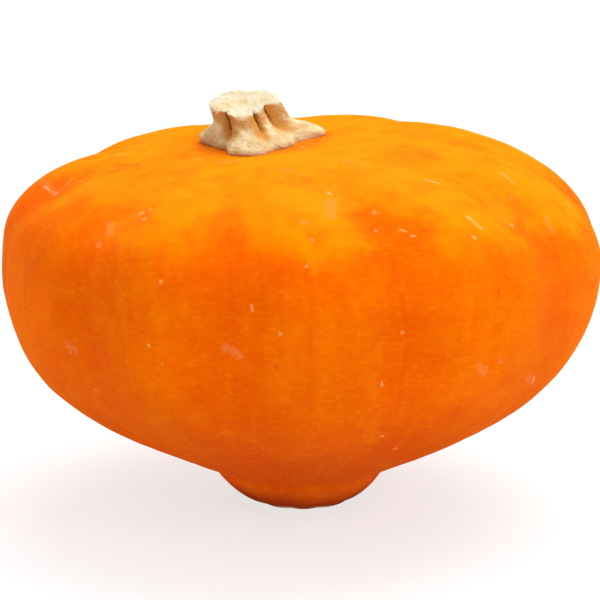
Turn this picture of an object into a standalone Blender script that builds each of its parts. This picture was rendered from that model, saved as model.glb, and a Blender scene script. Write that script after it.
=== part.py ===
"""An acorn squash of the smooth orange kind, standing on the button at its blossom end.

Metres, +Z up, origin at the centre of the button's flat. +X is the squash's right side and
-Y its front. Two grown pieces: the fruit, and the corky cut stem that sits on its crown.
"""

import math
from collections import namedtuple

import bmesh
import bpy
from mathutils import Vector
from mathutils.bvhtree import BVHTree

# Fruit: a wide crown over a body that tapers to a button.
EQUATOR_RADIUS = 0.080
EQUATOR_HEIGHT = 0.0681
CROWN_RISE = 0.0327
CROWN_OUT_POWER = 2.40
CROWN_UP_POWER = 2.31
FLANK_DEPTH = 0.0579
FLANK_OUT_POWER = 1.68
FLANK_DOWN_POWER = 2.35
BUTTON_FLAT_RADIUS = 0.0098
BUTTON_RADIUS = 0.0250
BUTTON_HEIGHT = 0.0138
BUTTON_POWER = 1.55
BUTTON_FILLET = 0.0243

# No fruit grows even: the crown's right side stands higher, and the body bulges to the left.
CROWN_TILT = 0.0429
EQUATOR_TILT = -0.0143
CROWN_SHIFT = -0.0039
BUTTON_SHIFT = -0.0013
CROWN_LOPSIDED = 0.0106
BODY_LOPSIDED = -0.0198
DEPTH_SIDEWAYS = 0.96

# Azimuths of the furrows between the ribs, in degrees from +X towards +Y.
FURROWS = (0, 47, 82, 112, 154, 190, 227, 257, 289, 326)
FURROW_DEPTH = 0.0018
FURROW_HALF_WIDTH = 8.5
FURROW_SHARE = 0.41

# Stem: ridges and hollows in order round it, each a guide from the cut down to the skin, with
# the depth of a hollow and how narrow it is.
Guide = namedtuple("Guide", "cut_azimuth cut_reach toe_azimuth toe_reach hollow narrow")
STEM_GUIDES = (
    Guide(5, 0.0094, 20, 0.0190, 0.0, 0),
    Guide(30, 0.0090, 42, 0.0135, 0.0006, 2),
    Guide(55, 0.0104, 62, 0.0155, 0.0, 0),
    Guide(82, 0.0084, 90, 0.0130, 0.0010, 2),
    Guide(118, 0.0097, 118, 0.0165, 0.0, 0),
    Guide(148, 0.0084, 140, 0.0145, 0.0008, 2),
    Guide(178, 0.0091, 163, 0.0170, 0.0, 0),
    Guide(210, 0.0092, 205, 0.0126, 0.0, 0),
    Guide(238, 0.0088, 229, 0.0124, 0.0014, 4),
    Guide(263, 0.0101, 264, 0.0172, 0.0, 0),
    Guide(291, 0.0056, 283, 0.0138, 0.0008, 3),
    Guide(308, 0.0062, 302, 0.0132, 0.0, 0),
    Guide(341, 0.0052, 340, 0.0110, 0.0006, 1),
)
STEM_CENTRE = Vector((-0.0110, -0.0030))
STEM_LEAN = Vector((-0.0040, 0.0005))
STEM_HEIGHT = 0.0106
CUT_TILT = Vector((0.02, 0.15))
FLARE_LEVEL = 0.38
FLARE_POWER = 4
UNDERCUT_LEVEL = 0.25
TOE_UNDERCUT = 0.11
SEAT_DEPTH = 0.0012
SEAT_RADIUS = 0.020
GAP = 0.0003

AROUND_FRUIT = 72
AROUND_STEM = 78
MERGE = 0.00001


def soft_step(amount):
    """0 to 1 with a level start and end."""
    amount = min(max(amount, 0.0), 1.0)
    return amount * amount * (3.0 - 2.0 * amount)


def flank_radius(height):
    """The tapering body below the equator, a quarter of a superellipse."""
    depth = min((EQUATOR_HEIGHT - height) / FLANK_DEPTH, 1.0)
    return EQUATOR_RADIUS * (1.0 - depth**FLANK_DOWN_POWER) ** (1.0 / FLANK_OUT_POWER)


def button_radius(height):
    """The button: a rounded foot that rises from its flat to a straight side."""
    rise = min(height / BUTTON_HEIGHT, 1.0)
    bulge = (1.0 - (1.0 - rise) ** BUTTON_POWER) ** (1.0 / BUTTON_POWER)
    return BUTTON_FLAT_RADIUS + (BUTTON_RADIUS - BUTTON_FLAT_RADIUS) * bulge


def lower_radius(height):
    """Body and button run into each other through a fillet."""
    body = flank_radius(height)
    button = button_radius(height)
    nearness = max(BUTTON_FILLET - abs(body - button), 0.0) / BUTTON_FILLET
    return max(body, button) + nearness * nearness * BUTTON_FILLET / 4.0


def crown_point(turn):
    """Radius and height on the crown; turn is 90 degrees at its top and 0 at the equator."""
    out = EQUATOR_RADIUS * math.cos(turn) ** (2.0 / CROWN_OUT_POWER)
    rise = CROWN_RISE * math.sin(turn) ** (2.0 / CROWN_UP_POWER)
    return out, EQUATOR_HEIGHT + rise


def fruit_profile(crown_steps=15, body_steps=14, button_steps=5):
    """Radius and height from the top of the crown to the centre of the flat."""
    points = [(0.0, EQUATOR_HEIGHT + CROWN_RISE)]
    for step in range(1, crown_steps):
        points.append(crown_point(math.radians(90.0) * (1.0 - step / crown_steps)))
    button_top = BUTTON_HEIGHT * 0.8
    for step in range(body_steps):
        height = EQUATOR_HEIGHT + (button_top - EQUATOR_HEIGHT) * step / body_steps
        points.append((lower_radius(height), height))
    for step in range(button_steps + 1):
        height = button_top * (1.0 - step / button_steps) ** 2
        points.append((lower_radius(height), height))
    points.append((0.0, 0.0))
    return points


def furrow(azimuth):
    """1 in a furrow, falling softly to 0 on the backs of the ribs beside it."""
    gap = min(abs((azimuth - line + 180.0) % 360.0 - 180.0) for line in FURROWS)
    return math.exp(-((gap / FURROW_HALF_WIDTH) ** 2))


def grow_fruit(point):
    """Gives a point of the turned fruit its furrows, its lopsided growth and the stem's seat."""
    upper = min(max((point.z - EQUATOR_HEIGHT) / CROWN_RISE, 0.0), 1.0)
    lower = min(max((EQUATOR_HEIGHT - point.z) / EQUATOR_HEIGHT, 0.0), 1.0)
    above = soft_step(upper)
    below = soft_step(lower)
    azimuth = math.degrees(math.atan2(point.y, point.x))
    radius = math.hypot(point.x, point.y)
    fade = soft_step((radius - BUTTON_RADIUS) / BUTTON_RADIUS) * (1.0 - 0.6 * below)
    pinch = FURROW_DEPTH * (furrow(azimuth) - FURROW_SHARE) * fade
    shrink = 1.0 - pinch / max(radius, BUTTON_RADIUS)
    lopsided = CROWN_LOPSIDED * math.sin(math.pi * upper)
    lopsided += BODY_LOPSIDED * math.sin(math.pi * lower)
    side = 1.0 + lopsided * math.cos(math.radians(azimuth))
    x = point.x * shrink * side
    x += CROWN_SHIFT * above + BUTTON_SHIFT * below * min(point.z / BUTTON_HEIGHT, 1.0)
    y = point.y * shrink * DEPTH_SIDEWAYS
    belt = (1.0 - above) * (1.0 - below)
    z = point.z + (CROWN_TILT * above + EQUATOR_TILT * belt) * point.x - pinch * above
    from_stem = (Vector((x, y)) - STEM_CENTRE).length
    z -= SEAT_DEPTH * math.exp(-((from_stem / SEAT_RADIUS) ** 2)) * above
    return Vector((x, y, z))


def eased(start, end, share):
    """Blend from one guide to the next: round on a ridge, narrow or broad in a hollow."""
    if start.hollow == end.hollow == 0.0:
        return soft_step(share)
    towards = share if end.hollow else 1.0 - share
    narrow = max(start.narrow, end.narrow)
    deep = towards**narrow if narrow > 1 else soft_step(towards)
    return deep if end.hollow else 1.0 - deep


def between_guides(station):
    """A guide at a station; station 2.5 is halfway from the third guide to the fourth."""
    start = STEM_GUIDES[int(station) % len(STEM_GUIDES)]
    end = STEM_GUIDES[(int(station) + 1) % len(STEM_GUIDES)]
    share = station - int(station)
    blend = eased(start, end, share)
    return Guide(
        start.cut_azimuth + (end.cut_azimuth - start.cut_azimuth) % 360 * share,
        start.cut_reach + (end.cut_reach - start.cut_reach) * blend,
        start.toe_azimuth + (end.toe_azimuth - start.toe_azimuth) % 360 * share,
        start.toe_reach + (end.toe_reach - start.toe_reach) * blend,
        start.hollow + (end.hollow - start.hollow) * blend,
        0,
    )


def hollow_depth(level):
    """Hollows are deepest just under the cut and run out between the toes."""
    return soft_step(level / 0.55) * (1.0 - 0.55 * soft_step((level - 0.88) / 0.12))


def crown_under(x, y, crown):
    """Height of the fruit's skin straight under a place on the crown."""
    hit = crown.ray_cast(Vector((x, y, 1.0)), Vector((0.0, 0.0, -1.0)))[0]
    return hit.z


def grow_stem(point, crown):
    """Bends a unit cylinder, radius 1 and height 1, into the stem: its height is the level."""
    level = point.z
    out = math.hypot(point.x, point.y)
    share = math.atan2(point.y, point.x) / math.tau % 1.0 if out > MERGE else 0.0
    guide = between_guides(share * len(STEM_GUIDES))
    flare = 1.0 / (1.0 + (level / FLARE_LEVEL) ** FLARE_POWER)
    flare -= TOE_UNDERCUT * max(1.0 - level / UNDERCUT_LEVEL, 0.0) ** 2
    azimuth = guide.cut_azimuth + (guide.toe_azimuth - guide.cut_azimuth) * (1.0 - level)
    direction = Vector((math.cos(math.radians(azimuth)), math.sin(math.radians(azimuth))))
    reach = guide.cut_reach + (guide.toe_reach - guide.cut_reach) * flare
    reach -= guide.hollow * hollow_depth(level)
    foot = STEM_CENTRE + direction * reach * out
    place = foot + STEM_LEAN * level
    seat = crown_under(foot.x, foot.y, crown) + GAP
    centre = crown_under(STEM_CENTRE.x, STEM_CENTRE.y, crown)
    cut_height = centre + STEM_HEIGHT + CUT_TILT.dot(direction * guide.cut_reach * out)
    return Vector((place.x, place.y, seat + (cut_height - seat) * level))


def material(name, colour, roughness):
    """A plain matt material that isn't metal."""
    made = bpy.data.materials.new(name)
    made.use_nodes = True
    shader = made.node_tree.nodes["Principled BSDF"]
    shader.inputs["Base Color"].default_value = (*colour, 1.0)
    shader.inputs["Roughness"].default_value = roughness
    shader.inputs["Metallic"].default_value = 0.0
    return made


def turned(name, profile, steps, collection):
    """A closed body: the profile, listed from top to bottom, screwed once around Z."""
    mesh = bpy.data.meshes.new(name)
    points = [(radius, 0.0, height) for radius, height in profile]
    mesh.from_pydata(points, [(i, i + 1) for i in range(len(points) - 1)], [])
    body = bpy.data.objects.new(name, mesh)
    collection.objects.link(body)
    screw = body.modifiers.new("Turn", "SCREW")
    screw.axis = "Z"
    screw.angle = math.radians(360.0)
    screw.steps = steps
    screw.render_steps = steps
    screw.use_merge_vertices = True
    screw.merge_threshold = MERGE
    graph = bpy.context.evaluated_depsgraph_get()
    made = bpy.data.meshes.new_from_object(body.evaluated_get(graph))
    body.modifiers.clear()
    body.data = made
    bpy.data.meshes.remove(mesh)
    made.name = name
    return body


def shape(body, grow):
    """Moves every point of a body by a rule."""
    form = bmesh.new()
    form.from_mesh(body.data)
    for vertex in form.verts:
        vertex.co = grow(vertex.co)
    bmesh.ops.recalc_face_normals(form, faces=form.faces)
    form.to_mesh(body.data)
    form.free()
    body.data.shade_smooth()


def make_fruit(collection):
    body = turned("fruit", fruit_profile(), AROUND_FRUIT, collection)
    shape(body, grow_fruit)
    body.data.materials.append(material("orange_skin", (0.90, 0.22, 0.005), 0.42))
    return body


def make_stem(collection, fruit):
    """The stem stands on the crown as it really is, a hair's gap above the skin."""
    sides = [1.0 - step / 9 for step in range(9)]
    profile = [(0.0, 1.0), (0.5, 1.0)]
    profile += [(1.0, level) for level in sides]
    profile += [(1.0, 0.04), (1.0, 0.0), (0.75, 0.0), (0.5, 0.0), (0.25, 0.0), (0.0, 0.0)]
    body = turned("stem", profile, AROUND_STEM, collection)
    form = bmesh.new()
    form.from_mesh(fruit.data)
    crown = BVHTree.FromBMesh(form)
    form.free()
    shape(body, lambda point: grow_stem(point, crown))
    body.data.materials.append(material("corky_stem", (0.78, 0.60, 0.36), 0.85))
    return body


def main():
    for old in list(bpy.data.objects):
        bpy.data.objects.remove(old)
    collection = bpy.data.collections.new("acorn_squash")
    bpy.context.scene.collection.children.link(collection)
    fruit = make_fruit(collection)
    make_stem(collection, fruit)


main()
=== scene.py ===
# %% [markdown]
# # An orange acorn squash
#
# A winter squash grows as one piece: a wide crown with the stem in its middle, faint ribs that run
# down from the stem, and a body that tapers to a round button where the blossom was. When it is
# picked, a stub of the corky stem stays on. This lesson makes those two pieces, the fruit and the
# stem, with real relief, and then gives each one a finish made of nodes.
#
# The plain measured solids come first. They say where everything stands and how big it is, so
# nothing below is placed by eye.

# %% Load the measured solids
import math
from collections import namedtuple

import bmesh
import bpy
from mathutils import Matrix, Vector, noise
from mathutils.bvhtree import BVHTree


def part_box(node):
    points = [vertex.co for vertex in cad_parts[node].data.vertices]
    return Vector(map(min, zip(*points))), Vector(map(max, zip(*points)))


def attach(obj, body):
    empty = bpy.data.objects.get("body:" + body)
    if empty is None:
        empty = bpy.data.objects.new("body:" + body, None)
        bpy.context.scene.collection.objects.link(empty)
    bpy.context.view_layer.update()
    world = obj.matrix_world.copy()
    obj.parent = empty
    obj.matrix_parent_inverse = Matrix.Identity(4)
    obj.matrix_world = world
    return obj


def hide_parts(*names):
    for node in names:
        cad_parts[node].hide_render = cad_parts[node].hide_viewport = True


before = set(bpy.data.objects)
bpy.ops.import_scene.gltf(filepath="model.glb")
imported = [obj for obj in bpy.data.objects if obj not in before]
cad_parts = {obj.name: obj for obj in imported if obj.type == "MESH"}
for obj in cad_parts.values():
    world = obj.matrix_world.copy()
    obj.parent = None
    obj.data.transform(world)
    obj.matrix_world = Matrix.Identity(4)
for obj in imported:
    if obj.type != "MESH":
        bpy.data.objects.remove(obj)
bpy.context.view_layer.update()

print("nodes:", sorted(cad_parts))

# %% [markdown]
# ## Sizes
#
# A grown form still follows a rule. Seen from the side, the crown and the tapering body are each
# a quarter of a superellipse, which is an ellipse with its corners filled out, and the button is
# a smaller one. Their sizes are fractions of the solid's width and height, so that the dressed
# fruit always fits the measured one.

# %% Sizes of the fruit, from the frame
fruit_low, fruit_high = (Vector(corner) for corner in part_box("fruit"))
stem_low, stem_high = (Vector(corner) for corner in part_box("stem"))
WIDTH = fruit_high.x - fruit_low.x
HEIGHT = fruit_high.z

FRUIT_FORM = {
    "Equator Radius": 0.5009 * WIDTH,
    "Equator Height": 0.6745 * HEIGHT,
    "Crown Rise": 0.3239 * HEIGHT,
    "Crown Out Power": 2.40,
    "Crown Up Power": 2.31,
    "Flank Depth": 0.5735 * HEIGHT,
    "Flank Out Power": 1.68,
    "Flank Down Power": 2.35,
    "Flat Radius": 0.0614 * WIDTH,
    "Button Radius": 0.1565 * WIDTH,
    "Button Height": 0.1367 * HEIGHT,
    "Button Power": 1.55,
    "Button Fillet": 0.1521 * WIDTH,
    "Crown Tilt": 0.0429,
    "Equator Tilt": -0.0143,
    "Crown Shift": -0.0244 * WIDTH,
    "Button Shift": -0.0081 * WIDTH,
    "Crown Lopsided": 0.0106,
    "Body Lopsided": -0.0198,
    "Depth Sideways": 0.96,
    "Furrow Depth": 0.0018,
    "Seat Depth": 0.0012,
    "Seat Radius": 0.020,
}
FURROW_AZIMUTHS = (0, 47, 82, 112, 154, 190, 227, 257, 289, 326)
STEM_CENTRE = Vector((-0.0110, -0.0030))
EQUATOR_HEIGHT = FRUIT_FORM["Equator Height"]
print(f"fruit {WIDTH * 1000:.1f} mm wide and {HEIGHT * 1000:.1f} mm high")

# %% [markdown]
# ## Wires that add and multiply
#
# Blender's node trees do arithmetic one node at a time, which is long to write and hard to read.
# A small class hides that: a `Wire` is a socket that knows its tree, and adding, multiplying or
# raising one to a power lays down the Math node. The formulas below then read like formulas. The
# same class serves the trees that make shapes and the trees that make finishes.

# %% Helpers for node trees
class Wire:
    """A socket of a node tree that can be used in arithmetic."""

    def __init__(self, tree, socket):
        self.tree = tree
        self.socket = socket

    def math(self, operation, *others):
        node = self.tree.nodes.new("ShaderNodeMath")
        node.operation = operation
        for place, value in zip(node.inputs, (self, *others)):
            feed(self.tree, place, value)
        return Wire(self.tree, node.outputs[0])

    def __add__(self, other):
        return self.math("ADD", other)

    def __sub__(self, other):
        return self.math("SUBTRACT", other)

    def __mul__(self, other):
        return self.math("MULTIPLY", other)

    def __truediv__(self, other):
        return self.math("DIVIDE", other)

    def __pow__(self, other):
        return self.math("POWER", other)

    def less_from(self, number):
        """The number less this wire."""
        return self.math("MULTIPLY", -1.0).math("ADD", number)


def feed(tree, place, value):
    """Links a wire into a socket, or sets the socket to a plain value."""
    if isinstance(value, Wire):
        tree.links.new(value.socket, place)
    else:
        place.default_value = value


def add(tree, kind, inputs=None, output=0, **settings):
    """Lays down a node, feeds its inputs by name or number, and gives one of its outputs."""
    node = tree.nodes.new(kind)
    for name, value in settings.items():
        setattr(node, name, value)
    for name, value in (inputs or {}).items():
        feed(tree, node.inputs[name], value)
    return Wire(tree, node.outputs[output])


def ramp(wire, low, high):
    """0 below low and 1 above high, with a soft start and end."""
    inputs = {"Value": wire, "From Min": low, "From Max": high}
    return add(wire.tree, "ShaderNodeMapRange", inputs, interpolation_type="SMOOTHSTEP")


def combine(tree, x, y, z):
    return add(tree, "ShaderNodeCombineXYZ", {0: x, 1: y, 2: z})


def split(wire):
    return [add(wire.tree, "ShaderNodeSeparateXYZ", {0: wire}, output=axis) for axis in range(3)]


def scaled(wire, factor):
    """A vector times a number."""
    node_inputs = {0: wire, "Scale": factor}
    return add(wire.tree, "ShaderNodeVectorMath", node_inputs, operation="SCALE")


def vector_math(operation, first, second, output=0):
    """Vector arithmetic; a dot product comes out of output 1."""
    inputs = {0: first, 1: second}
    return add(first.tree, "ShaderNodeVectorMath", inputs, output=output, operation=operation)


def new_group(name, kind, inputs, outputs):
    """An empty node group, its group inputs by name, and its output node."""
    tree = bpy.data.node_groups.new(name, kind)
    for title, (socket_kind, default) in inputs.items():
        socket = tree.interface.new_socket(title, in_out="INPUT", socket_type=socket_kind)
        if default is not None:
            socket.default_value = default
    for title, socket_kind in outputs.items():
        tree.interface.new_socket(title, in_out="OUTPUT", socket_type=socket_kind)
    start = tree.nodes.new("NodeGroupInput")
    end = tree.nodes.new("NodeGroupOutput")
    wires = {title: Wire(tree, start.outputs[title]) for title in inputs}
    return tree, wires, end


# %% [markdown]
# ## The form of the fruit
#
# The whole skin is one sheet of squares, rolled up. Its columns are the azimuths around the stem
# and its rows go from the stem down to the middle of the flat, so each point of the sheet knows
# how far round and how far down it is, and formulas turn those two numbers into a place. A lathe
# turn with sculpting could give a similar form, but here the ribs, the lean and the stem's seat
# stay numbers that can be changed.
#
# The columns meet at the stem, which stands off the middle of the fruit. That is how the ribs of
# a real squash run: they start at the stem, wherever it is.

# %% Rows of the sheet: crown, body and flat
AROUND = 480
ROWS = 200
CROWN_SHARE = 0.37
FLAT_SHARE = 0.06
ROW_CROWDING = 1.6


def crown_place(ask, down, turn):
    """Across, away and up on the crown, from the stem (down 0) to the equator (down 1)."""
    quarter = (down.less_from(1.0) * math.radians(90)).math("COSINE").math("MAXIMUM", 0.0)
    reach = ask["Equator Radius"] * quarter ** ((ask["Crown Out Power"] * 0.5) ** -1.0)
    share = reach / ask["Equator Radius"]
    pull = (share * share).less_from(1.0) ** 2.0
    pole_x = (ask["Stem Across"] - ask["Crown Shift"]) * pull
    pole_y = (ask["Stem Away"] / ask["Depth Sideways"]) * pull
    x = reach * turn.math("COSINE") + pole_x
    y = reach * turn.math("SINE") + pole_y
    radius = (x * x + y * y).math("SQRT")
    fill = (radius / ask["Equator Radius"]) ** ask["Crown Out Power"]
    rise = fill.less_from(1.0).math("MAXIMUM", 0.0) ** (ask["Crown Up Power"] ** -1.0)
    return x, y, ask["Equator Height"] + ask["Crown Rise"] * rise


def body_radius(ask, height):
    """The tapering body and the button, run into each other through a fillet."""
    depth = ((ask["Equator Height"] - height) / ask["Flank Depth"]).math("MINIMUM", 1.0)
    body = (depth ** ask["Flank Down Power"]).less_from(1.0).math("MAXIMUM", 0.0)
    body = ask["Equator Radius"] * body ** (ask["Flank Out Power"] ** -1.0)
    rise = (height / ask["Button Height"]).math("MINIMUM", 1.0).less_from(1.0)
    bulge = (rise ** ask["Button Power"]).less_from(1.0).math("MAXIMUM", 0.0)
    bulge = bulge ** (ask["Button Power"] ** -1.0)
    button = ask["Flat Radius"] + (ask["Button Radius"] - ask["Flat Radius"]) * bulge
    apart = (body - button).math("ABSOLUTE")
    near = (ask["Button Fillet"] - apart).math("MAXIMUM", 0.0) / ask["Button Fillet"]
    return body.math("MAXIMUM", button) + near * near * ask["Button Fillet"] * 0.25


# %% [markdown]
# ## Ribs, lean and seat
#
# The ribs are not carved: the skin is pulled in a little along each furrow, most on the shoulder,
# and less and less towards the button. The furrows are unevenly spaced, as they are on a real
# fruit, so each one is its own azimuth in a list, and a loop keeps the nearest.

# %% Furrows between the ribs
FURROW_HALF_WIDTH = math.radians(8.5)
FURROW_SHARE = 0.41
FURROWS_START = (0.12, 0.55)
RIB_HALF = math.radians(18)


def gap_to_furrow(turn):
    """How far round the nearest furrow is, in radians, on either side."""
    nearest = turn * 0.0 + 10.0
    for azimuth in FURROW_AZIMUTHS:
        gap = (turn + (math.pi - math.radians(azimuth))).math("FLOORED_MODULO", math.tau)
        nearest = nearest.math("MINIMUM", (gap - math.pi).math("ABSOLUTE"))
    return nearest


def valley(gap):
    """1 in a furrow, falling softly to 0 on the backs of the ribs."""
    share = gap / FURROW_HALF_WIDTH
    return (share * share).less_from(0.0).math("EXPONENT")


# %% The tree that makes the fruit
def fruit_tree():
    inputs = {name: ("NodeSocketFloat", value) for name, value in FRUIT_FORM.items()}
    inputs["Stem Across"] = ("NodeSocketFloat", STEM_CENTRE.x)
    inputs["Stem Away"] = ("NodeSocketFloat", STEM_CENTRE.y)
    inputs["Unevenness"] = ("NodeSocketFloat", 1.0)
    inputs["Skin"] = ("NodeSocketMaterial", None)
    outputs = {"Geometry": "NodeSocketGeometry"}
    tree, ask, end = new_group("Squash Fruit", "GeometryNodeTree", inputs, outputs)
    tree.is_modifier = True

    counts = {"Size X": 1.0, "Size Y": 1.0, "Vertices X": AROUND + 1, "Vertices Y": ROWS + 1}
    sheet = add(tree, "GeometryNodeMeshGrid", counts)
    sheet_x, sheet_y, _ = split(add(tree, "GeometryNodeInputPosition"))
    turn = (sheet_x + 0.5) * math.tau
    down = sheet_y.less_from(0.5)

    on_crown = down.math("LESS_THAN", CROWN_SHARE - 0.5 / ROWS)
    crown_down = (down / CROWN_SHARE).math("MINIMUM", 1.0)
    crown_x, crown_y, crown_z = crown_place(ask, crown_down, turn)

    body_share = 1.0 - CROWN_SHARE - FLAT_SHARE
    body_down = ((down - CROWN_SHARE) / body_share).math("MINIMUM", 1.0).math("MAXIMUM", 0.0)
    body_z = ask["Equator Height"] * body_down.less_from(1.0) ** ROW_CROWDING
    flat_left = (down.less_from(1.0) / FLAT_SHARE).math("MINIMUM", 1.0).math("MAXIMUM", 0.0)
    body_reach = body_radius(ask, body_z) * flat_left
    body_x = body_reach * turn.math("COSINE")
    body_y = body_reach * turn.math("SINE")

    def either(crown, body):
        return crown * on_crown + body * on_crown.less_from(1.0)

    x = either(crown_x, body_x)
    y = either(crown_y, body_y)
    z = either(crown_z, body_z)
    above = ramp((z - ask["Equator Height"]) / ask["Crown Rise"], 0.0, 1.0)
    below = ramp((ask["Equator Height"] - z) / ask["Equator Height"], 0.0, 1.0)

    gap = gap_to_furrow(turn)
    furrow = valley(gap)
    off_stem = ramp(crown_down, *FURROWS_START)
    fade = off_stem * (below * 0.6).less_from(1.0) * flat_left
    pinch = ask["Furrow Depth"] * (furrow - FURROW_SHARE) * fade
    radius = (x * x + y * y).math("SQRT").math("MAXIMUM", ask["Flat Radius"])
    shrink = (pinch / radius).less_from(1.0)
    upper = ((z - ask["Equator Height"]) / ask["Crown Rise"]).math("MAXIMUM", 0.0)
    lower = ((ask["Equator Height"] - z) / ask["Equator Height"]).math("MAXIMUM", 0.0)
    lean = ask["Crown Lopsided"] * (upper * math.pi).math("SINE")
    lean = lean + ask["Body Lopsided"] * (lower * math.pi).math("SINE")
    side = lean * turn.math("COSINE") + 1.0
    foot = (z / ask["Button Height"]).math("MINIMUM", 1.0)
    x_grown = x * shrink * side + ask["Crown Shift"] * above
    x_grown = x_grown + ask["Button Shift"] * below * foot
    y_grown = y * shrink * ask["Depth Sideways"]
    belt = above.less_from(1.0) * below.less_from(1.0)
    tilt = ask["Crown Tilt"] * above + ask["Equator Tilt"] * belt * lower.math("LESS_THAN", 0.999)
    z_grown = z + tilt * x - pinch * above
    from_x = (x_grown - ask["Stem Across"]) / ask["Seat Radius"]
    from_y = (y_grown - ask["Stem Away"]) / ask["Seat Radius"]
    seat = (from_x * from_x + from_y * from_y).less_from(0.0).math("EXPONENT")
    z_grown = z_grown - ask["Seat Depth"] * seat * above

    meridian = combine(tree, turn.math("COSINE"), turn.math("SINE"), down)
    stored = {"Geometry": sheet, "Name": "meridian", "Value": meridian}
    sheet = add(tree, "GeometryNodeStoreNamedAttribute", stored, data_type="FLOAT_VECTOR")
    rib = combine(tree, furrow * fade, gap / RIB_HALF, 0.0)
    stored = {"Geometry": sheet, "Name": "rib", "Value": rib}
    sheet = add(tree, "GeometryNodeStoreNamedAttribute", stored, data_type="FLOAT_VECTOR")
    placed = {"Geometry": sheet, "Position": combine(tree, x_grown, y_grown, z_grown)}
    skin = add(tree, "GeometryNodeSetPosition", placed)
    skin = add(tree, "GeometryNodeMergeByDistance", {"Geometry": skin, "Distance": 1e-6})

    skin = uneven_skin(tree, ask, skin)
    skin = add(tree, "GeometryNodeSetShadeSmooth", {"Geometry": skin})
    skin = add(tree, "GeometryNodeRealizeInstances", {"Geometry": skin})
    finished = {"Geometry": skin, "Material": ask["Skin"]}
    skin = add(tree, "GeometryNodeSetMaterial", finished)
    feed(tree, end.inputs["Geometry"], skin)
    return tree


# %% [markdown]
# ## No fruit is even
#
# A formula is too perfect. Broad, shallow swells and finer dimples, pushed along the skin's own
# normal, break up its reflections. They are real relief, so they also show in the outline. They
# fade out towards the flat that the squash stands on.

# %% Swells and dimples
SWELLS = ((22.0, 0.0006), (60.0, 0.00035), (170.0, 0.00012))


def uneven_skin(tree, ask, skin):
    """Pushes the skin in and out by noise of several sizes, as (waves in a metre, height)."""
    place = add(tree, "GeometryNodeInputPosition")
    normal = add(tree, "GeometryNodeInputNormal")
    push = None
    for waves, height in SWELLS:
        inputs = {"Vector": place, "Scale": waves, "Detail": 1.0}
        wave = (add(tree, "ShaderNodeTexNoise", inputs) - 0.5) * (2.0 * height)
        push = wave if push is None else push + wave
    clear = ramp(split(place)[2], 0.001, 0.012)
    offset = scaled(normal, push * clear * ask["Unevenness"])
    return add(tree, "GeometryNodeSetPosition", {"Geometry": skin, "Offset": offset})


# %% Make the fruit's mesh
def new_material(name):
    material = bpy.data.materials.new(name)
    material.use_nodes = True
    return material


def grown(name, tree, values):
    """Runs a tree on an empty mesh and keeps what it makes as a plain mesh at the origin."""
    maker = bpy.data.objects.new(name + "_maker", bpy.data.meshes.new(name + "_maker"))
    bpy.context.scene.collection.objects.link(maker)
    modifier = maker.modifiers.new("Grow", "NODES")
    modifier.node_group = tree
    for item in tree.interface.items_tree:
        if item.in_out == "INPUT" and item.name in values:
            modifier[item.identifier] = values[item.name]
    graph = bpy.context.evaluated_depsgraph_get()
    mesh = bpy.data.meshes.new_from_object(maker.evaluated_get(graph))
    mesh.name = name
    made = bpy.data.objects.new(name, mesh)
    bpy.context.scene.collection.objects.link(made)
    bpy.data.objects.remove(maker)
    return made


skin_finish = new_material("orange_skin")
fruit = grown("squash_fruit", fruit_tree(), {"Skin": skin_finish, **FRUIT_FORM})
print(f"fruit skin: {len(fruit.data.polygons)} faces")

# %% [markdown]
# ## The stem
#
# The stem of a winter squash turns to cork as the fruit ripens. It is a bundle of ridges that
# spread into toes where they grip the crown, with hollows between them, and a rough face where it
# was cut. So the stem is described by its ridges and hollows, in order round it: each one is a
# guide that runs from the cut down to the skin, and the surface is stretched from guide to guide.
#
# A ridge is always round. A hollow can be a broad trough or a narrow cleft, and the last number
# of its guide says which: the higher it is, the narrower the cleft.

# %% Ridges and hollows of the stem
Guide = namedtuple("Guide", "cut_azimuth cut_reach toe_azimuth toe_reach hollow narrow")
STEM_GUIDES = (
    Guide(5, 0.0094, 20, 0.0190, 0.0, 0),
    Guide(30, 0.0090, 42, 0.0135, 0.0006, 2),
    Guide(55, 0.0104, 62, 0.0155, 0.0, 0),
    Guide(82, 0.0084, 90, 0.0130, 0.0010, 2),
    Guide(118, 0.0097, 118, 0.0165, 0.0, 0),
    Guide(148, 0.0084, 140, 0.0145, 0.0008, 2),
    Guide(178, 0.0091, 163, 0.0162, 0.0, 0),
    Guide(210, 0.0092, 205, 0.0126, 0.0, 0),
    Guide(238, 0.0088, 229, 0.0124, 0.0014, 4),
    Guide(263, 0.0101, 264, 0.0172, 0.0, 0),
    Guide(291, 0.0056, 283, 0.0138, 0.0008, 3),
    Guide(308, 0.0062, 302, 0.0132, 0.0, 0),
    Guide(341, 0.0052, 340, 0.0110, 0.0006, 1),
)
STEM_LEAN = Vector((-0.0040, 0.0005))
STEM_HEIGHT = 0.0106
CUT_TILT = Vector((0.02, 0.15))
FLARE_LEVEL = 0.38
FLARE_POWER = 4
UNDERCUT_LEVEL = 0.25
TOE_UNDERCUT = 0.11
LIP = 0.0003


def soft_step(amount):
    """0 to 1 with a level start and end."""
    amount = min(max(amount, 0.0), 1.0)
    return amount * amount * (3.0 - 2.0 * amount)


def eased(start, end, share):
    """Blend from one guide to the next, and how far into a hollow that is."""
    if start.hollow == end.hollow == 0.0:
        return soft_step(share), 0.0
    towards = share if end.hollow else 1.0 - share
    narrow = max(start.narrow, end.narrow)
    deep = towards**narrow if narrow > 1 else soft_step(towards)
    return (deep if end.hollow else 1.0 - deep), towards


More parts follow.
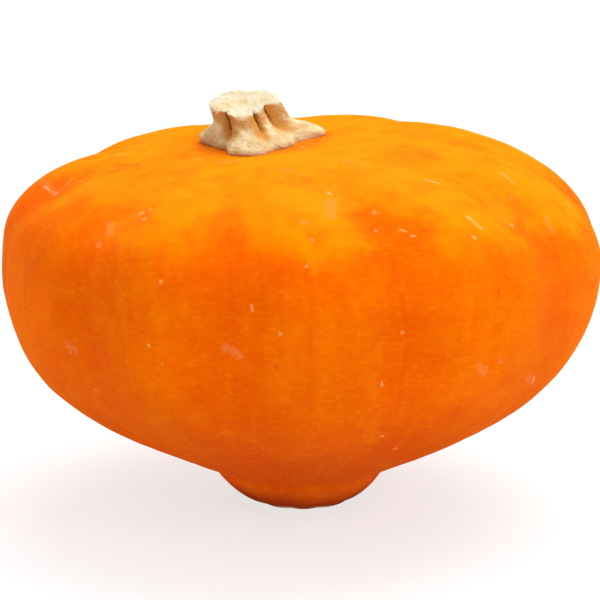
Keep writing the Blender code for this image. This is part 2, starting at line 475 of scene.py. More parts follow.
def between_guides(station):
    """Guide numbers at a station; station 2.5 is halfway from the third guide to the fourth."""
    start = STEM_GUIDES[int(station) % len(STEM_GUIDES)]
    end = STEM_GUIDES[(int(station) + 1) % len(STEM_GUIDES)]
    share = station - int(station)
    blend, towards = eased(start, end, share)
    values = [start_value + (end_value - start_value) * blend
              for start_value, end_value in zip(start, end)]
    cut_turn = start.cut_azimuth + (end.cut_azimuth - start.cut_azimuth) % 360 * share
    toe_turn = start.toe_azimuth + (end.toe_azimuth - start.toe_azimuth) % 360 * share
    return cut_turn, values[1], toe_turn, values[3], values[4], towards


# %% [markdown]
# ## Bending the stem
#
# The level runs from 0 on the skin to 1 at the cut. The ridges flare out in the lower third and
# tuck under at the very bottom, which is what makes a toe look like a toe, and a small lip stands
# over the hollows where the knife dragged. Noise gives the lumps of the cork and the torn cut.
# The lowest points are found by dropping a ray on the fruit that was just made, so that the toes
# follow its seat, sunk a hair into it.

# %% Where each point of the stem goes
LUMP_HEIGHT = 0.00060
GRAIN_HEIGHT = 0.00024
CUT_ROUGHNESS = 0.00055
CUT_LUMPS = 0.0008
CUT_DISH = 0.0008
RIM_WEAR = 0.0006
SUNK = 0.0005
# How high up the toes the painted contact shadow reaches.
FOOT_SHADOW_LEVEL = 0.11

fruit_form = bmesh.new()
fruit_form.from_mesh(fruit.data)
skin_surface = BVHTree.FromBMesh(fruit_form)
fruit_form.free()


def skin_height(x, y):
    return skin_surface.ray_cast(Vector((x, y, 1.0)), Vector((0.0, 0.0, -1.0)))[0].z


MIDDLE_HEIGHT = skin_height(*STEM_CENTRE)


def hollow_depth(level):
    """Hollows are deepest just under the lip and run out between the toes."""
    return soft_step(level / 0.55) * (1.0 - 0.55 * soft_step((level - 0.88) / 0.12))


def cork_relief(place):
    """Lumps of cork and its grain, at a place."""
    lumps = noise.noise(place * 330.0)
    grain = noise.fractal(place * 1100.0, 1.0, 2.1, 3)
    return LUMP_HEIGHT * lumps + GRAIN_HEIGHT * grain


def cut_relief(place, out):
    """The torn cut: sunk at the pith, worn down at its rim, lumpy and pitted all over."""
    torn = noise.fractal(place * 380.0, 0.9, 2.1, 4)
    lumps = noise.noise(place * 170.0)
    worn_rim = soft_step((out - 0.86) / 0.14)
    dish = CUT_DISH * (out * out - 0.5)
    return CUT_ROUGHNESS * torn + CUT_LUMPS * lumps + dish - RIM_WEAR * worn_rim


def stem_point(station, out, level):
    """Place of a point, how brown it is, and how near the skin; out is 1 on the outside."""
    cut_turn, cut, toe_turn, toe, hollow, towards = between_guides(station)
    flare = 1.0 / (1.0 + (level / FLARE_LEVEL) ** FLARE_POWER)
    flare -= TOE_UNDERCUT * max(1.0 - level / UNDERCUT_LEVEL, 0.0) ** 2
    turn = math.radians(cut_turn + (toe_turn - cut_turn) * (1.0 - level))
    direction = Vector((math.cos(turn), math.sin(turn)))
    reach = cut + (toe - cut) * flare - hollow * hollow_depth(level)
    reach += LIP * soft_step((level - 0.84) / 0.12)
    rough = Vector((direction.x * reach, direction.y * reach, level * STEM_HEIGHT))
    reach += cork_relief(rough) * min(level / 0.1, 1.0)
    foot = STEM_CENTRE + direction * reach * out
    place = foot + STEM_LEAN * level
    seat = skin_height(foot.x, foot.y) - SUNK
    top = MIDDLE_HEIGHT + STEM_HEIGHT + CUT_TILT.dot(direction * cut * out)
    top += cut_relief(Vector((place.x, place.y, 0.0)), out)
    height = seat + (top - seat) * level
    brown = towards * soft_step((level - 0.12) / 0.42)
    under_lip = 0.45 * soft_step((level - 0.45) / 0.3) * (1.0 - soft_step((level - 0.86) / 0.08))
    # How near the skin, for the painted contact shadow at the toes' base.
    foot_shade = 1.0 - min(level / FOOT_SHADOW_LEVEL, 1.0)
    return Vector((place.x, place.y, height)), max(brown, under_lip) * (level < 0.97), foot_shade


# %% Build the stem's mesh
COLUMNS_A_GUIDE = 28
STEM_LEVELS = 80
CUT_RINGS = 30


def stem_rings():
    """Radius and level of each ring, from the middle of the cut over its rim to the base."""
    rings = [(ring / CUT_RINGS, 1.0) for ring in range(1, CUT_RINGS + 1)]
    rings += [(1.0, 1.0 - step / STEM_LEVELS) for step in range(1, STEM_LEVELS + 1)]
    return rings + [(0.5, 0.0)]


def build_stem():
    form = bmesh.new()
    hollow_layer = form.verts.layers.float.new("hollow")
    cut_layer = form.verts.layers.float.new("cut")
    foot_shadow_layer = form.verts.layers.float.new("foot")
    columns = COLUMNS_A_GUIDE * len(STEM_GUIDES)

    def add_point(station, out, level):
        place, brown, foot_shade = stem_point(station, out, level)
        vertex = form.verts.new(place)
        vertex[hollow_layer] = brown
        vertex[foot_shadow_layer] = foot_shade
        vertex[cut_layer] = 1.0 if level > 0.999 else 0.0
        return vertex

    rows = [
        [add_point(column / COLUMNS_A_GUIDE, out, level) for column in range(columns)]
        for out, level in stem_rings()
    ]
    top = add_point(0.0, 0.0, 1.0)
    bottom = add_point(0.0, 0.0, 0.0)
    for column in range(columns):
        beside = (column + 1) % columns
        form.faces.new((top, rows[0][column], rows[0][beside]))
        form.faces.new((bottom, rows[-1][beside], rows[-1][column]))
        for upper, lower in zip(rows, rows[1:]):
            form.faces.new((upper[column], lower[column], lower[beside], upper[beside]))
    bmesh.ops.recalc_face_normals(form, faces=form.faces)
    mesh = bpy.data.meshes.new("squash_stem")
    form.to_mesh(mesh)
    form.free()
    mesh.shade_smooth()
    made = bpy.data.objects.new("squash_stem", mesh)
    bpy.context.scene.collection.objects.link(made)
    return made


stem = build_stem()
stem_finish = new_material("corky_stem")
stem.data.materials.append(stem_finish)
print(f"stem: {len(stem.data.polygons)} faces")

# %% [markdown]
# ## Effects that both finishes share
#
# Skin and cork both have blotches of a second tone and small pores or specks. Each of those is a
# node group, made once, with its own sizes in each material. A group only gives out values: the
# shaders stay in the materials.

# %% Blotches and specks
def shader_group(name, inputs, outputs):
    kinds = {"Vector": "NodeSocketVector", "Float": "NodeSocketFloat"}
    asked = {title: (kinds[kind], default) for title, (kind, default) in inputs.items()}
    given = {title: kinds[kind] for title, kind in outputs.items()}
    return new_group(name, "ShaderNodeTree", asked, given)


def blotch_group():
    """Soft patches: noise with fine edges, sharpened around a threshold."""
    inputs = {
        "Place": ("Vector", None),
        "Waves": ("Float", 40.0),
        "Threshold": ("Float", 0.5),
        "Softness": ("Float", 0.15),
    }
    tree, ask, end = shader_group("Blotches", inputs, {"Mask": "Float"})
    noise_inputs = {"Vector": ask["Place"], "Scale": ask["Waves"], "Detail": 3.0, "Roughness": 0.55}
    patch = add(tree, "ShaderNodeTexNoise", noise_inputs)
    low = ask["Threshold"] - ask["Softness"]
    mask = ramp(patch, low, ask["Threshold"] + ask["Softness"])
    feed(tree, end.inputs["Mask"], mask)
    return tree


def speck_group():
    """Round specks at random places: some of the cells of a Voronoi pattern hold one."""
    inputs = {
        "Place": ("Vector", None),
        "Cells": ("Float", 200.0),
        "Size": ("Float", 0.25),
        "Share": ("Float", 0.2),
    }
    tree, ask, end = shader_group("Specks", inputs, {"Mask": "Float"})
    cell_inputs = {"Vector": ask["Place"], "Scale": ask["Cells"], "Randomness": 0.9}
    cells = tree.nodes.new("ShaderNodeTexVoronoi")
    for name, value in cell_inputs.items():
        feed(tree, cells.inputs[name], value)
    distance = Wire(tree, cells.outputs["Distance"])
    chance, size, _ = split(Wire(tree, cells.outputs["Color"]))
    edge = ask["Size"] * (size * 0.7 + 0.3)
    dot = (distance / edge).math("MINIMUM", 1.0)
    held = chance.math("LESS_THAN", ask["Share"])
    feed(tree, end.inputs["Mask"], ramp(dot.less_from(1.0), 0.0, 0.6) * held)
    return tree


def scratch_group():
    """A scratch from one point to another, with soft ends; a spot is a very short scratch."""
    inputs = {
        "Place": ("Vector", None),
        "Start": ("Vector", None),
        "End": ("Vector", None),
        "Width": ("Float", 0.001),
    }
    tree, ask, end = shader_group("Scratch", inputs, {"Mask": "Float"})
    from_start = vector_math("SUBTRACT", ask["Place"], ask["Start"])
    line = vector_math("SUBTRACT", ask["End"], ask["Start"])
    length_squared = vector_math("DOT_PRODUCT", line, line, 1).math("MAXIMUM", 1e-9)
    along = vector_math("DOT_PRODUCT", from_start, line, 1) / length_squared
    along = along.math("MAXIMUM", 0.0).math("MINIMUM", 1.0)
    aside = vector_math("SUBTRACT", from_start, scaled(line, along))
    apart = vector_math("DOT_PRODUCT", aside, aside, 1).math("SQRT")
    share = apart / (ask["Width"] * 0.5)
    feed(tree, end.inputs["Mask"], ramp(share.less_from(1.0), 0.0, 0.7))
    return tree


BLOTCHES = blotch_group()
SPECKS = speck_group()
SCRATCH = scratch_group()


def use_group(tree, group, inputs):
    node = tree.nodes.new("ShaderNodeGroup")
    node.node_tree = group
    for name, value in inputs.items():
        feed(tree, node.inputs[name], value)
    return Wire(tree, node.outputs[0])


def mixed(factor, first, second):
    """Two colours mixed; a plain colour is three linear numbers."""
    tree = factor.tree
    node = tree.nodes.new("ShaderNodeMix")
    node.data_type = "RGBA"
    feed(tree, node.inputs[0], factor)
    for place, colour in ((6, first), (7, second)):
        feed(tree, node.inputs[place], colour if isinstance(colour, Wire) else (*colour, 1.0))
    return Wire(tree, node.outputs[2])


# %% [markdown]
# ## Marks on the skin
#
# A squash is rubbed by leaves and soil while it grows, and heals each scratch with a little cork.
# The larger marks are placed one by one, each from one direction to another as seen from the
# middle of the fruit: azimuth, elevation, azimuth, elevation in degrees, and width in millimetres.
# A ray finds both places on the skin. Pale marks are cork; worn ones are where the wax is thin.
# The clouds are broad soft patches of lighter and darker skin; those round the front are partly
# painted light and shade on the sides of the ribs. The veins are thin dark lines that run down
# the meridians at a few azimuths.

# %% Places of the larger marks
PALE_MARKS = (
    (180, 28.0, 180, 30.5, 0.8), (229, 19.7, 229.3, 20.0, 1.6), (231.5, 18.6, 232, 18.8, 1.3),
    (231, 20.8, 230.6, 21.2, 1.1), (278, 30.3, 278.5, 29.8, 1.7), (310.5, 30.4, 313, 28.3, 1.2),
    (337.3, 26.0, 335.2, 22.2, 0.9), (309.6, 19.0, 311, 16.0, 1.3),
    (307.7, 14.6, 307.9, 14.4, 1.7), (320.3, 16.8, 320.6, 16.6, 1.2), (321, 15, 321.2, 14.8, 1.2),
    (292.5, 18.2, 293.4, 17.6, 1.1), (294.3, 16.7, 294.8, 16.5, 1.0),
    (344.5, 14, 344.8, 13.7, 1.2), (271.9, 17.1, 272.2, 16.8, 1.0), (348, 26, 348.4, 25.6, 1.1),
    (285.2, -11, 285.5, -11.6, 0.9), (288, -26, 288.2, -26.3, 1.4),
    (324.5, -16.6, 325.8, -18.2, 1.4), (240.9, -4.4, 241.1, -4.6, 1.3),
    (260.6, 4.4, 260.8, 3.6, 1.1), (182, 15.6, 191, 16.4, 1.0), (20, 24, 23, 22, 1.1),
    (63, 18, 63.4, 17.6, 1.7), (98, 30, 100, 27, 1.3), (140, 8, 140.3, 7, 1.6),
    (85, -8, 85.3, -8.5, 1.8), (30, -20, 31, -22, 1.3),
)
WORN_MARKS = (
    (291.5, 46.6, 298, 42.0, 2.0), (222.8, 16.2, 225.4, 14.2, 3.0), (224.4, 12, 224.8, 11.6, 2.6),
    (216, 42.2, 218, 42, 2.6), (229, 43.4, 236, 47.5, 2.4), (262, 42.4, 266, 40.6, 2.0),
    (270, 21.3, 270.6, 20.8, 2.4), (277.8, 27, 277, 22.6, 4.2), (332.7, 14.2, 331.4, 11.4, 1.9),
    (321.2, -15, 323.5, -17.2, 2.3), (326.5, -19, 329, -20.6, 1.7), (189.7, 16.8, 186, 19.7, 2.0),
    (197.6, 22.4, 200.5, 21.6, 1.6), (306.3, -10, 306.8, -10.4, 2.2), (309.8, -9, 310, -9.5, 1.8),
    (178, 15.6, 191, 16.4, 3.2), (219.8, -8.1, 221.8, -9, 3.0), (255.9, -3.8, 258.3, -5.1, 3.4),
    (304.9, -9.6, 306.6, -11.6, 3.0), (320.7, -15.4, 326.5, -18.9, 2.8), (45, 34, 52, 31, 2.2),
    (120, 22, 122, 18, 3.4), (160, -12, 161, -16, 2.4),
)
BRUISES = (
    (189, 28, 200, 31.4, 3.4), (330.0, 9.4, 328.8, 6.4, 1.5), (180.3, 15.8, 180.8, 15.2, 3.0),
    (311.1, 6.5, 311.6, 6.1, 1.8), (308.5, 4, 308.8, 3.7, 1.3), (297.5, 17.8, 298.3, 17.4, 1.1),
    (265, -6.8, 265.3, -7.2, 1.8), (72, 10, 73, 7, 2.0), (130, -5, 131, -6, 2.2),
)
# The clouds round the front are partly painted shade and painted light on the sides of the ribs.
DARK_CLOUDS = (
    (257, 18.5, 265.6, 12.3, 16), (272.7, 15.4, 281.1, 12.1, 11), (295.5, 19.3, 303.1, 14.1, 14),
    (310.7, 8.1, 315.6, 3.8, 14), (204.1, 9.1, 217.6, 2.7, 16), (231, 2, 230, -9, 12),
    (40, 20, 52, 14, 15), (100, 17, 112, 12, 16), (150, 16, 160, 9, 15),
)
LIGHT_CLOUDS = (
    (238.7, 22, 250.6, 18.2, 14), (254.3, 25.5, 283.2, 20, 16), (301.8, 31.4, 310.8, 22.8, 16),
    (284.3, 8, 284.6, -8, 9), (284.6, -8, 286, -26, 9), (267, 2, 267.5, -14, 12),
    (20, 30, 34, 26, 16), (75, 27, 90, 24, 16), (130, 24, 142, 20, 15),
)
VEIN_AZIMUTHS = (236, 257.5, 263.5, 272, 289, 302, 330, 20, 63, 98, 135, 172, 208)


def on_skin(azimuth, elevation):
    """The point of the skin that lies that way from the middle of the fruit."""
    side = math.cos(math.radians(elevation))
    way = Vector((
        math.cos(math.radians(azimuth)) * side,
        math.sin(math.radians(azimuth)) * side,
        math.sin(math.radians(elevation)),
    ))
    return skin_surface.ray_cast(Vector((0.0, 0.0, EQUATOR_HEIGHT)), way)[0]


def marks(tree, place, places):
    """All the marks of a list as one mask."""
    mask = None
    for azimuth, elevation, end_azimuth, end_elevation, width in places:
        inputs = {
            "Place": place,
            "Start": on_skin(azimuth, elevation),
            "End": on_skin(end_azimuth, end_elevation),
            "Width": width / 1000.0,
        }
        one = use_group(tree, SCRATCH, inputs)
        mask = one if mask is None else mask.math("MAXIMUM", one)
    return mask


def veins(meridian, wander):
    """1 on a vein, falling to 0 a millimetre beside it; wander is how far off line it is."""
    nearest = None
    for azimuth in VEIN_AZIMUTHS:
        turn = math.radians(azimuth)
        across = (-math.sin(turn), math.cos(turn), 0.0)
        along = (math.cos(turn), math.sin(turn), 0.0)
        aside = vector_math("DOT_PRODUCT", meridian, across, output=1)
        ahead = vector_math("DOT_PRODUCT", meridian, along, output=1)
        gap = (aside + wander).math("ABSOLUTE") + ahead.math("LESS_THAN", 0.0)
        nearest = gap if nearest is None else nearest.math("MINIMUM", gap)
    return ramp(nearest, 0.014, 0.001)


# %% [markdown]
# ## The waxy skin
#
# Orange, but never one orange: yellower on the crown, deeper on the flanks, almost red round the
# button, with ochre blotches where it lay in the shade. The yellow crown is partly painted
# highlight, and the deep lower flanks, the red button and the furrows are partly painted shade.
# Fine streaks follow the meridians that the fruit's tree stored with each point. The wax has only
# a trace of gloss, and less over marks.

# %% Colours of the skin
# The crown's orange is partly painted highlight: it stands in for the overhead lamp's sheen.
CROWN_ORANGE = (0.78, 0.215, 0.0006)
BODY_ORANGE = (0.78, 0.126, 0.0004)
# The low orange is painted shade of the lower flank.
LOW_SHADE_ORANGE = (0.57, 0.060, 0.0005)
# The button red is partly painted shade, under the body's overhang.
BUTTON_SHADE_RED = (0.24, 0.018, 0.001)
OCHRE = (0.58, 0.118, 0.001)
DEEP_ORANGE = (0.64, 0.064, 0.0006)
PALE_CORK = (0.86, 0.46, 0.16)
WORN_PINK = (0.76, 0.24, 0.075)
# Bruise red also paints the shade round the stem's base.
BRUISE_AND_SHADE_RED = (0.40, 0.040, 0.006)
SCAR_GREY = (0.40, 0.27, 0.17)


# %% Helpers for finishes
def shader_of(material):
    return material.node_tree.nodes["Principled BSDF"]


def noise_at(place, waves, detail=2.0, output=0):
    """Noise with so many waves in a unit of the place it is read at."""
    inputs = {"Vector": place, "Scale": waves, "Detail": detail}
    return add(place.tree, "ShaderNodeTexNoise", inputs, output=output)


def jittered(place, waves, detail, size):
    """A place moved at random, by up to half a size each way."""
    wobble = noise_at(place, waves, detail, output=1)
    centred = vector_math("SUBTRACT", wobble, (0.5, 0.5, 0.5))
    return vector_math("ADD", place, scaled(centred, size))


def layered(colour, layers):
    """Lays tones over a colour. Each follows a wire: where it starts, is full, and how strong."""
    for wire, start, full, strength, tone in layers:
        colour = mixed(ramp(wire, start, full) * strength, colour, tone)
    return colour


# %% [markdown]
# Six noises give the skin its structure. Streaks and threads are read along the meridians, so
# that they are long from stem to button; flecks are read with the height stretched, so that they
# lie flat, as the pores of this skin do; patches and mottle are even all round.

# %% Noises that the skin's colour, gloss and relief share
def skin_noises(place, meridian):
    return {
        "streaks": noise_at(vector_math("MULTIPLY", meridian, (22.0, 22.0, 6.0)), 1.0, 4.0),
        "threads": noise_at(vector_math("MULTIPLY", meridian, (60.0, 60.0, 9.0)), 1.0, 3.0),
        "patches": noise_at(place, 38.0, 3.0) - 0.5,
        "mottle": noise_at(place, 120.0, 4.0) - 0.5,
        "flecks": noise_at(vector_math("MULTIPLY", place, (480, 480, 1200)), 1.0, 4.0) - 0.5,
        "clouds": noise_at(vector_math("MULTIPLY", place, (1.0, 1.0, 1.5)), 105.0, 2.0) - 0.5,
    }


# %% The colour of the clean skin
CROWN_SHEEN_BORDER = (0.0800, 0.0905)
LOW_SHADE_BORDER = (-0.058, -0.020)
BUTTON_SHADE_BORDER = (-0.0090, -0.0015)


def skin_tones(place, meridian, rib, noises):
    """Yellow crown, orange body and red button, with blotches, furrows, veins and streaks."""
    tree = place.tree
    across, away, height = split(place)
    furrow, gap, _ = split(rib)
    streaks, threads, flecks = noises["streaks"], noises["threads"], noises["flecks"]
    patches, mottle, clouds = noises["patches"], noises["mottle"], noises["clouds"]

    # Partly painted highlight: the crown is yellower, its border higher on the right and scalloped
    # by the furrows, as a lit sheen would be.
    ragged = patches * 0.040 + mottle * 0.020
    border = height + across * 0.024 + ragged - furrow * 0.0040
    crown = ramp(border, *CROWN_SHEEN_BORDER)
    colour = mixed(crown, BODY_ORANGE, CROWN_ORANGE)
    # Painted shade: the skin darkens towards the bottom, where the body shades itself from the
    # floor's light.
    low = ramp((height + patches * 0.03).less_from(0.0), *LOW_SHADE_BORDER)
    colour = mixed(low, colour, LOW_SHADE_ORANGE)
    for waves, threshold, softness, strength, tone in (
        (30.0, 0.55, 0.12, 0.30, OCHRE),
        (85.0, 0.58, 0.10, 0.26, DEEP_ORANGE),
    ):
        inputs = {"Place": place, "Waves": waves, "Threshold": threshold, "Softness": softness}
        colour = mixed(use_group(tree, BLOTCHES, inputs) * strength, colour, tone)
    # Painted light: the right side of the upper body is lighter, as the lamp on the right lights
    # it.
    lit_right_side = ramp(across, 0.015, 0.070) * ramp(height, 0.025, 0.060)
    colour = mixed(lit_right_side * 0.24, colour, CROWN_ORANGE)
    # Painted shade: the furrows are darker, most on the flanks below the crown.
    colour = mixed(furrow * (crown * -0.26 + 0.50), colour, DEEP_ORANGE)
    colour = layered(colour, (
        (clouds, 0.00, 0.25, 0.16, CROWN_ORANGE),
        (clouds, 0.00, -0.25, 0.34, DEEP_ORANGE),
    ))
    wander = (noise_at(place, 45.0, 2.0) - 0.5) * 0.06
    vein = veins(meridian, wander) * ramp(noise_at(place, 70.0, 2.0), 0.42, 0.60)
    vein = vein * ramp(height, 0.030, 0.050) * (crown * -0.85 + 1.0)
    colour = mixed(vein * 0.30, colour, DEEP_ORANGE)
    colour = layered(colour, (
        (streaks, 0.50, 0.72, 0.12, CROWN_ORANGE),
        (streaks, 0.48, 0.28, 0.12, DEEP_ORANGE),
        (threads, 0.52, 0.75, 0.07, CROWN_ORANGE),
        (flecks, 0.02, 0.25, 0.34, CROWN_ORANGE),
        (flecks, -0.02, -0.25, crown * -0.20 + 0.42, DEEP_ORANGE),
    ))
    # Partly painted shade: the skin is darker and redder in a ring round the stem's base, where the
    # stem shades it; partly the skin's own colour.
    stem_x = across - STEM_CENTRE.x
    stem_y = away - STEM_CENTRE.y
    from_stem = (stem_x * stem_x + stem_y * stem_y).math("SQRT") + mottle * 0.006
    ring = ramp(from_stem, 0.0205, 0.0150) * ramp(height, 0.080, 0.090)
    colour = mixed(ring * 0.40, colour, BRUISE_AND_SHADE_RED)
    # Partly painted shade: darker and redder towards the button, under the body's overhang.
    red = ramp((height + patches * 0.006).less_from(0.0), *BUTTON_SHADE_BORDER)
    return mixed(red, colour, BUTTON_SHADE_RED)


# %% The skin's material
WAX_GLOSS = 0.010
WAX_TINT = (1.0, 0.62, 0.04, 1.0)


def finish_skin(material):
    tree = material.node_tree
    shader = shader_of(material)
    place = add(tree, "ShaderNodeTexCoord", output=3)
    meridian = add(tree, "ShaderNodeAttribute", attribute_name="meridian", output=1)
    rib = add(tree, "ShaderNodeAttribute", attribute_name="rib", output=1)
    noises = skin_noises(place, meridian)
    colour = skin_tones(place, meridian, rib, noises)

    cloud_place = jittered(place, 90.0, 3.0, 0.022)
    mark_place = jittered(place, 900.0, 2.0, 0.0014)
    broken = ramp(noise_at(place, 1100.0, 2.0), 0.30, 0.55)
    worn = marks(tree, mark_place, WORN_MARKS) * broken
    pale = marks(tree, mark_place, PALE_MARKS) * (broken * 0.4 + 0.6)
    bruise = marks(tree, mark_place, BRUISES) * broken
    dust_inputs = {"Place": mark_place, "Cells": 170.0, "Size": 0.17, "Share": 0.20}
    dust = use_group(tree, SPECKS, dust_inputs)
    height = split(place)[2] + noises["mottle"] * 0.002
    scar = ramp(height.less_from(0.0), -0.0016, -0.0006)
    for mask, strength, tone in (
        # Partly painted shade and light: the cloud marks round the front.
        (marks(tree, cloud_place, DARK_CLOUDS), 0.20, DEEP_ORANGE),
        (marks(tree, cloud_place, LIGHT_CLOUDS), 0.20, CROWN_ORANGE),
        (worn, 0.34, WORN_PINK),
        (bruise, 0.42, BRUISE_AND_SHADE_RED),
        (dust, 0.30, PALE_CORK),
        (pale, 0.48, PALE_CORK),
        (scar, 1.0, SCAR_GREY),
    ):
        colour = mixed(mask * strength, colour, tone)
    feed(tree, shader.inputs["Base Color"], colour)

    cork = pale.math("MAXIMUM", dust).math("MAXIMUM", scar)
    rough = noises["streaks"] * 0.10 + 0.38 + cork * 0.35 + worn * 0.15
    feed(tree, shader.inputs["Roughness"], rough)
    relief = noises["flecks"] * 0.4 + noises["streaks"] * 0.35 + noises["threads"] * 0.2
    relief = relief + cork * 0.9 + worn * 0.3
    bump_inputs = {"Height": relief, "Distance": 0.00015, "Strength": 0.7}
    feed(tree, shader.inputs["Normal"], add(tree, "ShaderNodeBump", bump_inputs))
    shader.inputs["Specular IOR Level"].default_value = WAX_GLOSS
    shader.inputs["Specular Tint"].default_value = WAX_TINT


finish_skin(skin_finish)
print(f"skin: {len(skin_finish.node_tree.nodes)} nodes")

# %% [markdown]
# ## The corky stem
#
# Dry cork is matt. Its ridges are cream where they are rubbed, and its hollows keep the brown of
# old sap and soil. The cut is paler still, with a yellow pith. The mesh carries how deep in a
# hollow each point is, so the brown lies exactly where the relief says. The darkest brown deep in
# the clefts and at the toes' base is painted shade, and so is the darker tan low on the toes.

# %% Colours of the stem
CREAM = (0.50, 0.335, 0.150)
PALE_CREAM = (0.68, 0.53, 0.32)
CUT_CREAM = (0.55, 0.485, 0.355)
SAP_BROWN = (0.47, 0.200, 0.036)
# The dark brown is painted shade, deep in the clefts and at the toes' base.
CLEFT_AND_CONTACT_SHADE = (0.075, 0.028, 0.005)
PITH_YELLOW = (0.52, 0.38, 0.19)
# The toe tan is painted shade, low on the toes.
TOE_SHADE_TAN = (0.36, 0.20, 0.085)


# %% The stem's material
TOE_HEIGHT = MIDDLE_HEIGHT + 0.006


def finish_stem(material):
    tree = material.node_tree
    shader = shader_of(material)
    place = add(tree, "ShaderNodeTexCoord", output=3)
    hollow = add(tree, "ShaderNodeAttribute", attribute_name="hollow", output=2)
    cut = add(tree, "ShaderNodeAttribute", attribute_name="cut", output=2)
    foot = add(tree, "ShaderNodeAttribute", attribute_name="foot", output=2)
    grain = noise_at(place, 900.0, 4.0)
    blotch = use_group(
        tree, BLOTCHES, {"Place": place, "Waves": 300.0, "Threshold": 0.50, "Softness": 0.16}
    )
    colour = mixed(blotch * 0.8, CREAM, PALE_CREAM)
    # Painted shade: the toes turn darker towards the skin, where they face down.
    toes = ramp(split(place)[2].less_from(TOE_HEIGHT), 0.0, 0.005)
    colour = mixed(toes * 0.18, colour, TOE_SHADE_TAN)
    # The brown in the hollows is the cork's own; the darkest brown deep in each cleft is painted
    # shade.
    stain_and_cleft_shade = hollow + (grain - 0.5) * 0.55
    colour = mixed(ramp(stain_and_cleft_shade, 0.15, 0.62), colour, SAP_BROWN)
    colour = mixed(ramp(stain_and_cleft_shade, 0.80, 1.08), colour, CLEFT_AND_CONTACT_SHADE)
    pores = use_group(tree, SPECKS, {"Place": place, "Cells": 900.0, "Size": 0.40, "Share": 0.35})
    pith = use_group(
        tree, BLOTCHES, {"Place": place, "Waves": 170.0, "Threshold": 0.52, "Softness": 0.12}
    )
    face = mixed(pith * 0.8, CUT_CREAM, PITH_YELLOW)
    colour = mixed(cut, colour, face)
    colour = mixed(pores * 0.22, colour, SAP_BROWN)
    # Painted contact shadow: dark brown at the toes' base, where they meet the skin.
    contact_shadow = ramp(foot + (grain - 0.5) * 0.5, 0.25, 0.75)
    colour = mixed(contact_shadow * 0.8, colour, CLEFT_AND_CONTACT_SHADE)
    feed(tree, shader.inputs["Base Color"], colour)
    feed(tree, shader.inputs["Roughness"], grain * 0.2 + 0.72)
    relief = grain * 0.7 - pores * 0.5
    bump = add(tree, "ShaderNodeBump", {"Height": relief, "Distance": 0.0003, "Strength": 0.8})
    feed(tree, shader.inputs["Normal"], bump)
    shader.inputs["Specular IOR Level"].default_value = 0.2


finish_stem(stem_finish)
print(f"stem: {len(stem_finish.node_tree.nodes)} nodes")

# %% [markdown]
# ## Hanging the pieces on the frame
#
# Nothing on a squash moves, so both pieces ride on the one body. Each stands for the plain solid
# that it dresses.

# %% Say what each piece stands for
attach(fruit, "root")
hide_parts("fruit")
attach(stem, "root")
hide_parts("stem")

# %% [markdown]
# ## Floor, light and camera
#
# The fruit stands on a white light table: the floor glows a little, which keeps its shadow soft
# and pale. An even white sky fills in, a large lamp above and behind brightens the crown, and a
# weaker one from the right gives the ribs a light and a dark side. The camera stands well back
# with a long lens, a little above the fruit, so that its crown shows.
#
# What little gloss the wax has takes on the colour of the skin beneath it. The sky, the floor and
# the lamps are therefore orange where only glints can see them, and white for everything else.

# %% Floor
GLINT_ORANGE = (1.0, 0.48, 0.01)
WHITE = (1.0, 1.0, 1.0)
FLOOR_GREY = (0.28, 0.28, 0.28)
FLOOR_HALF = 4.0
FLOOR_DEPTH = 0.0002
FLOOR_GLOW = 0.68
floor_mesh = bpy.data.meshes.new("floor")
corners = [(-1, -1), (1, -1), (1, 1), (-1, 1)]
places = [(x * FLOOR_HALF, y * FLOOR_HALF, -FLOOR_DEPTH) for x, y in corners]
floor_mesh.from_pydata(places, [], [(0, 1, 2, 3)])
floor = bpy.data.objects.new("floor", floor_mesh)
bpy.context.scene.collection.objects.link(floor)
floor_finish = new_material("pale_floor")
floor_shader = shader_of(floor_finish)
floor_tree = floor_finish.node_tree
floor_glint = add(floor_tree, "ShaderNodeLightPath", output=3)
floor_colour = mixed(floor_glint * 0.9, FLOOR_GREY, GLINT_ORANGE)
feed(floor_tree, floor_shader.inputs["Base Color"], floor_colour)
floor_shader.inputs["Roughness"].default_value = 0.9
floor_shader.inputs["Specular IOR Level"].default_value = 0.0
floor_shader.inputs["Emission Color"].default_value = (*WHITE, 1.0)
floor_glow = floor_glint.less_from(1.0) * FLOOR_GLOW
feed(floor_tree, floor_shader.inputs["Emission Strength"], floor_glow)
floor_finish.cycles.emission_sampling = "NONE"
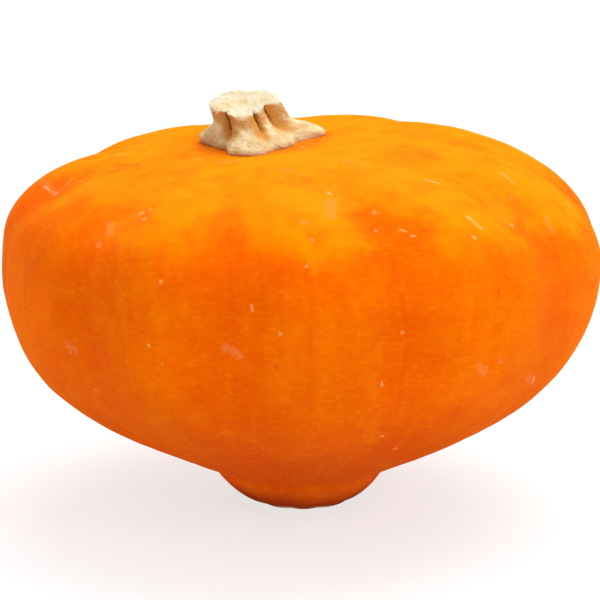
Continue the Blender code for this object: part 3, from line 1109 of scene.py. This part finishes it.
floor.data.materials.append(floor_finish)

# %% Sky
world = bpy.data.worlds.new("studio")
world.use_nodes = True
bpy.context.scene.world = world
sky = world.node_tree
background = sky.nodes["Background"]
background.inputs["Strength"].default_value = 1.0
world.cycles.sampling_method = "NONE"
glint = add(sky, "ShaderNodeLightPath", output=3)
feed(sky, background.inputs["Color"], mixed(glint, WHITE, GLINT_ORANGE))


# %% Lamps
MIDDLE = Vector((0.0, 0.0, 0.5 * stem_high.z))
SHEEN_ORANGE = (1.0, 0.70, 0.01)


def soft_lamp(name, place, size, power, glint_power):
    """A rectangular lamp that faces the middle of the fruit: white light with orange glints."""
    for part, energy, colour in (("light", power, WHITE), ("glint", glint_power, SHEEN_ORANGE)):
        lamp = bpy.data.lights.new(f"{name}_{part}", "AREA")
        lamp.shape = "RECTANGLE"
        lamp.size, lamp.size_y = size
        lamp.energy = energy
        lamp.color = colour
        made = bpy.data.objects.new(lamp.name, lamp)
        made.location = place
        made.rotation_euler = (Vector(place) - MIDDLE).to_track_quat("Z", "Y").to_euler()
        made.visible_glossy = part == "glint"
        made.visible_diffuse = part == "light"
        bpy.context.scene.collection.objects.link(made)


soft_lamp("overhead", (0.25, 0.40, 1.15), (1.3, 1.0), 16.0, 16.0)
soft_lamp("right", (1.1, -0.9, 0.75), (0.6, 0.6), 6.0, 3.0)

# %% Camera
CAMERA_DISTANCE = 0.80
CAMERA_ELEVATION = math.radians(15.0)
CAMERA_AIM = Vector((-0.0005, 0.0, 0.0553))
lens = bpy.data.cameras.new("camera")
lens.lens = 178.3
lens.sensor_width = 36.0
lens.clip_start = 0.01
camera = bpy.data.objects.new("camera", lens)
back = Vector((0.0, -math.cos(CAMERA_ELEVATION), math.sin(CAMERA_ELEVATION)))
camera.location = CAMERA_AIM + back * CAMERA_DISTANCE
camera.rotation_euler = back.to_track_quat("Z", "Y").to_euler()
bpy.context.scene.collection.objects.link(camera)
bpy.context.scene.camera = camera
bpy.context.scene.view_settings.view_transform = "Standard"
